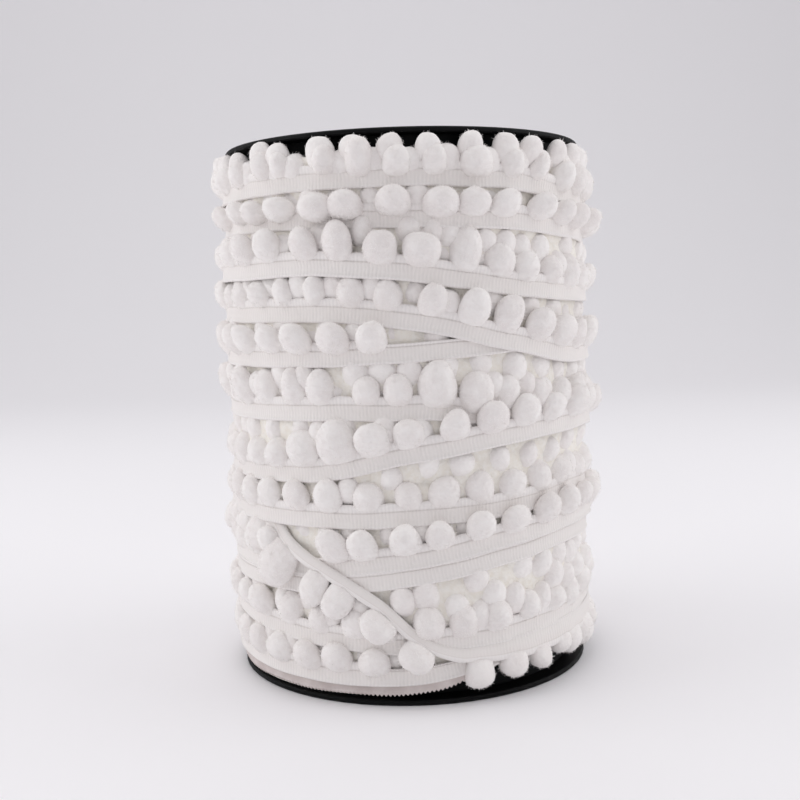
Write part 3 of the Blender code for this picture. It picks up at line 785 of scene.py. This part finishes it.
# the roll under both: a drum with a low lump for each pompom that it hides, half an ellipse in section
roll = {
    "radius": 53.6,
    "lump": 1.8,  # the height of a lump
    "wide": 0.62,  # its radius, to the distance from lump to lump
    "plain": 0.3,  # how much of that height is left near the lower edge, where there are none
    "fade": (7, 4),  # this far above that edge they begin, and grow to the full over so much
    "apart": 7.6,
    "nested": 0.87,  # the rows are nested, so they lie only this much of that apart
    "rows": 24, "around": 44,
    "stray": 0.9,  # how far a lump strays up or down
    "top": 153.4,
    "columns": 180, "rings": 112,
    "barrel": 49.6,  # the radius of the reel's barrel inside it, and its three rings' heights
    "barrelHeights": (158.4, 80.0, 1.7),
    "seam": 0.4,  # how far the barrel reaches into the roll
    # the height of the lower edge by the angle: it stands clear of the flange on one side
    "edge": ((-180, 2.2), (-60, 2.2), (-12, 3.0), (8, 7.5), (22, 11.5), (90, 11.0), (130, 4.0), (180, 2.2)),
}
angles = np.linspace(-180, 180, roll["columns"], endpoint=False)
share = np.linspace(0, 1, roll["rings"])[:, None]
edge = through(roll["edge"], angles)[None]
heights = roll["top"] + (edge - roll["top"]) * share
lumpRow, lumpStep = np.meshgrid(np.arange(roll["rows"]), np.arange(roll["around"]), indexing="ij")
lumpAngle = (lumpStep + lumpRow % 2 * 0.5) * 360 / roll["around"] + rng.uniform(-1, 1, lumpRow.shape)
lumpHeight = lumpRow * roll["apart"] * roll["nested"] + roll["stray"] * rng.uniform(-1, 1, lumpRow.shape)
lumpAngle, lumpHeight = lumpAngle.ravel(), lumpHeight.ravel()
radii = np.empty_like(heights)
for ring, level in enumerate(heights):
    bend = (angles[:, None] - lumpAngle[None] + 180) % 360 - 180
    far = np.hypot(np.radians(bend) * roll["radius"], level[:, None] - lumpHeight[None]).min(1)
    mound = np.sqrt(np.clip(1 - (far / roll["apart"] / roll["wide"]) ** 2, 0, 1))
    fade = np.clip((level - edge[0] - roll["fade"][0]) / roll["fade"][1], 0, 1)
    radii[ring] = roll["radius"] + roll["lump"] * (mound * fade + roll["plain"] * (1 - fade))
heights = np.concatenate([heights[:1], heights, heights[-1:]])
radii = np.concatenate([radii[:1] * 0 + roll["barrel"], radii, radii[-1:] * 0 + roll["barrel"]])
place(ringGrid("innerRoll", angles, heights, radii, under, True), "trim_yarn", "wound_roll")
heights = np.broadcast_to(np.array(roll["barrelHeights"])[:, None], (3, len(angles)))
radii = heights * 0 + roll["barrel"] + roll["seam"]
place(ringGrid("barrel", angles, heights, radii, plastic, True), "flange_plastic")

# the end of the lowest turn, of which only the looped edge shows; each loop is one wave of a sine
loopedEdge = {
    # its section from the top round the face: height, radius, and how far each point follows the loops
    "section": ((6.6, 53.6, 0), (6.4, 54.5, 0), (5.6, 54.8, 0), (4.6, 54.75, 0), (3.9, 55.1, 0.3),
                (3.2, 55.25, 1), (3.0, 54.8, 1), (3.9, 53.7, 0), (6.6, 53.6, 0)),
    # how much it rises, by the angle
    "rise": ((-270, 8.0), (-228, 2.6), (-205, 1.7), (-170, 1.2), (-130, 0), (-12, 0), (6, 1.2), (22, 5.2)),
    "from": -266, "to": 22, "step": 0.3,
    "loop": 1.25,  # from loop to loop, at the radius below
    "radius": 55.6,
    "deep": 0.32,  # how far a loop hangs above or below the edge
    "wobble": (0.25, 40),  # how much it wavers up and down, and over how many degrees
    "tuck": (2.0, 14),  # how far its start goes into the roll, over how many degrees
}
angles = np.arange(loopedEdge["from"], loopedEdge["to"], loopedEdge["step"])
swing = 2 * math.pi * np.radians(angles) * loopedEdge["radius"] / loopedEdge["loop"]
loops = loopedEdge["deep"] * np.sin(swing)
height, radius, follows = np.array(loopedEdge["section"]).T[:, :, None]
wobble, span = loopedEdge["wobble"]
rise = wobble * smoothNoise(angles, 9, span) + through(loopedEdge["rise"], angles)
depth, stretch = loopedEdge["tuck"]
tucked = depth * np.clip(1 - (angles - loopedEdge["from"]) / stretch, 0, 1) ** 2
place(ringGrid("loopedEdge", angles, height + follows * loops + rise, radius - tucked, shadedYarn, False),
      "trim_yarn", "wound_roll")
print("roll ready")

# the sweep: a flat floor, a quarter circle behind it and a straight wall
sweep = {
    "side": 3000,  # how far it reaches to either side, and to the front
    "bend": 900,  # how far back the quarter circle starts
    "radius": 900,
    "wall": (1500, 3500),  # the heights between which the wall is straight
}
paper, _, _ = newMaterial("whitePaperSweep", Base_Color=hexColour("#F8F7F9"), Roughness=0.9)
across = np.linspace(-sweep["side"], sweep["side"], 13)
flatRun, arc = np.linspace(-sweep["side"], sweep["bend"], 14), np.linspace(0.1, 1.5, 12)
back = sweep["bend"] + sweep["radius"]
run = np.concatenate([flatRun, sweep["bend"] + sweep["radius"] * np.sin(arc), [back, back]])
lift = np.concatenate([flatRun * 0, sweep["radius"] - sweep["radius"] * np.cos(arc), sweep["wall"]])
points = np.stack([np.repeat(across, len(run)), np.tile(run, len(across)), np.tile(lift, len(across))], -1)
addMesh("floor", points, (gridFaces(len(across), len(run), False, flipped=True),), paper)

# an even, faintly cool light from all round, and five softboxes
world = bpy.data.worlds.new("studio")
bpy.context.scene.world = world
world.use_nodes = True
sky = world.node_tree.nodes["Background"].inputs
sky["Color"].default_value = hexColour("#F5F3F6")
sky["Strength"].default_value = 0.59


def areaLight(name, spot, aim, size, watts):
    data = bpy.data.lights.new(name, "AREA")
    data.shape = "RECTANGLE"
    data.size, data.size_y = size
    data.energy = watts
    made = bpy.data.objects.new(name, data)
    bpy.context.scene.collection.objects.link(made)
    made.location = spot
    made.rotation_euler = (Vector(aim) - Vector(spot)).to_track_quat("-Z", "Y").to_euler()


# each light's place, what it faces and its size, in metres, and its watts
areaLight("leftSoftbox", (-0.9, -0.1, 0.45), (0, 0, 0.08), (0.8, 1.0), 3.15)
areaLight("rightSoftbox", (0.9, -0.05, 0.45), (0, 0, 0.08), (0.8, 1.0), 2.8)
areaLight("overhead", (0, 0.1, 1.1), (0, 0, 0), (1.2, 1.2), 2.6)
areaLight("frontFill", (0, -1.2, 0.35), (0, 0, 0.08), (1.2, 0.7), 0.15)
areaLight("sweepWash", (-0.4, 0.45, 1.2), (-0.3, 1.5, 0.35), (2.4, 0.5), 1.9)
print("stage ready")

# the camera looks a little down, and is turned a little about its own axis
view = {
    "lens": 49.5,
    "sensor": 36,
    "down": 5.52,  # in degrees
    "tilt": -1.71,
    "place": (-2.56, -354.3, 115.5),
}
camera = bpy.data.cameras.new("camera")
camera.lens, camera.sensor_width = view["lens"], view["sensor"]
camera.clip_start = 0.01
eye = bpy.data.objects.new("camera", camera)
bpy.context.scene.collection.objects.link(eye)
down, tilt = math.radians(view["down"]), math.radians(view["tilt"])
forward = np.array([0, math.cos(down), -math.sin(down)])
right = np.array([1.0, 0, 0])
above = np.cross(right, forward)
turnedRight = math.cos(tilt) * right + math.sin(tilt) * above
turnedUp = -math.sin(tilt) * right + math.cos(tilt) * above
matrix = np.eye(4)
matrix[:3, 0], matrix[:3, 1], matrix[:3, 2] = turnedRight, turnedUp, -forward
matrix[:3, 3] = np.array(view["place"]) * mm
eye.matrix_world = Matrix(matrix.tolist())
bpy.context.scene.camera = eye
bpy.context.scene.view_settings.view_transform = "Standard"

bpy.context.view_layer.update()
